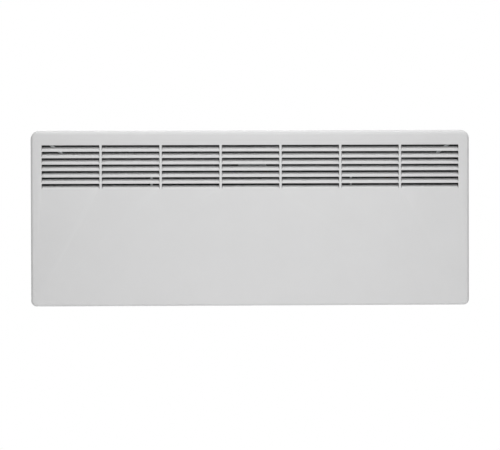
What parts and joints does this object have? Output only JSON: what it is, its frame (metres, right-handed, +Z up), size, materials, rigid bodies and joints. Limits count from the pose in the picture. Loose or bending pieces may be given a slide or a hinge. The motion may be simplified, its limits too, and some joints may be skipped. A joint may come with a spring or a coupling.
{
  "type": "wall panel convector heater",
  "caption": "Flat steel wall heater with a pressed louvre grille, inner finned element, side controls and a hook-on wall bracket that lets it tilt forward.",
  "frame": {"origin": "centre of the wall bracket's back face, on its crossbar, at mid-width and mid-height of the panel", "axes": "+X to the right seen from the room, +Y into the wall, +Z up; the panel faces -Y"},
  "size_m": [1, 0.085, 0.4],
  "materials": {
    "powder_coat": "fine satin powder coat, cold light grey",
    "dark_coat": "matt dark grey powder coat",
    "galvanised": "zinc-coated sheet steel",
    "aluminium": "mill finish",
    "steel": "plain bright steel",
    "ceramic": "unglazed steatite",
    "black_plastic": "fine moulded texture",
    "white_plastic": "satin moulded plastic",
    "bakelite": "phenolic moulding",
    "circuit_board": "solder resist on glass laminate",
    "rubber": "soft black rubber",
    "lead_brown": "silicone insulation",
    "lead_blue": "silicone insulation",
    "lens": "clear amber plastic"
  },
  "bodies": {
    "wall_bracket": {"wall_bracket": "galvanised", "catch_pivot_left": "steel", "catch_pivot_right": "steel", "wall_buffer_upper_left": "rubber", "wall_buffer_lower_left": "rubber", "wall_buffer_upper_right": "rubber", "wall_buffer_lower_right": "rubber"},
    "catch_left": {"wall_catch_left": "steel"},
    "catch_right": {"wall_catch_right": "steel"},
    "thermostat": {"thermostat_knob": "white_plastic", "thermostat_spindle": "steel"},
    "rocker": {"rocker_button": "white_plastic"},
    "heater": {"front_panel": "powder_coat", "rear_casing": "dark_coat", "air_deflector": "dark_coat", "convection_shield": "dark_coat", "element_bracket_left": "galvanised", "element_bracket_right": "galvanised", "cutout_bracket": "galvanised", "catch_keeper_left": "galvanised", "catch_keeper_right": "galvanised", "rear_reflector": "aluminium", "element_profile": "aluminium", "element_sheath": "steel", "element_terminal_left": "steel", "element_terminal_right": "steel", "thermostat_body": "steel", "element_bushing_left": "ceramic", "element_bushing_right": "ceramic", "element_insulator_left": "ceramic", "element_insulator_right": "ceramic", "control_housing": "black_plastic", "control_cover": "black_plastic", "rocker_switch": "black_plastic", "cable_gland": "black_plastic", "gland_nut": "black_plastic", "room_sensor": "black_plastic", "terminal_block": "white_plastic", "sensor_clip": "white_plastic", "thermal_cutout": "bakelite", "circuit_board": "circuit_board", "lead_grommet_lower": "rubber", "lead_grommet_upper": "rubber", "lead_supply": "lead_brown", "lead_element": "lead_brown", "lead_cutout": "lead_brown", "lead_sensor": "lead_blue", "lead_return": "lead_blue", "indicator_lens": "lens"}
  },
  "joints": [
    {"name": "heater_tilt", "type": "hinge", "parent": "wall_bracket", "child": "heater", "pos_m": [0, -0.0553, -0.1893], "axis": [1, 0, 0], "range_deg": [0, 25]},
    {"name": "catch_left_turn", "type": "hinge", "parent": "wall_bracket", "child": "catch_left", "pos_m": [-0.169, -0.0253, 0.142], "axis": [0, -1, 0], "range_deg": [0, 90]},
    {"name": "catch_right_turn", "type": "hinge", "parent": "wall_bracket", "child": "catch_right", "pos_m": [0.169, -0.0253, 0.142], "axis": [0, 1, 0], "range_deg": [0, 90]},
    {"name": "thermostat_turn", "type": "hinge", "parent": "heater", "child": "thermostat", "pos_m": [0.486, -0.04585, 0.038], "axis": [-1, 0, 0], "range_deg": [0, 270]},
    {"name": "power_rock", "type": "hinge", "parent": "heater", "child": "rocker", "pos_m": [0.4864, -0.04585, -0.012], "axis": [0, 1, 0], "range_deg": [0, 18]}
  ]
}
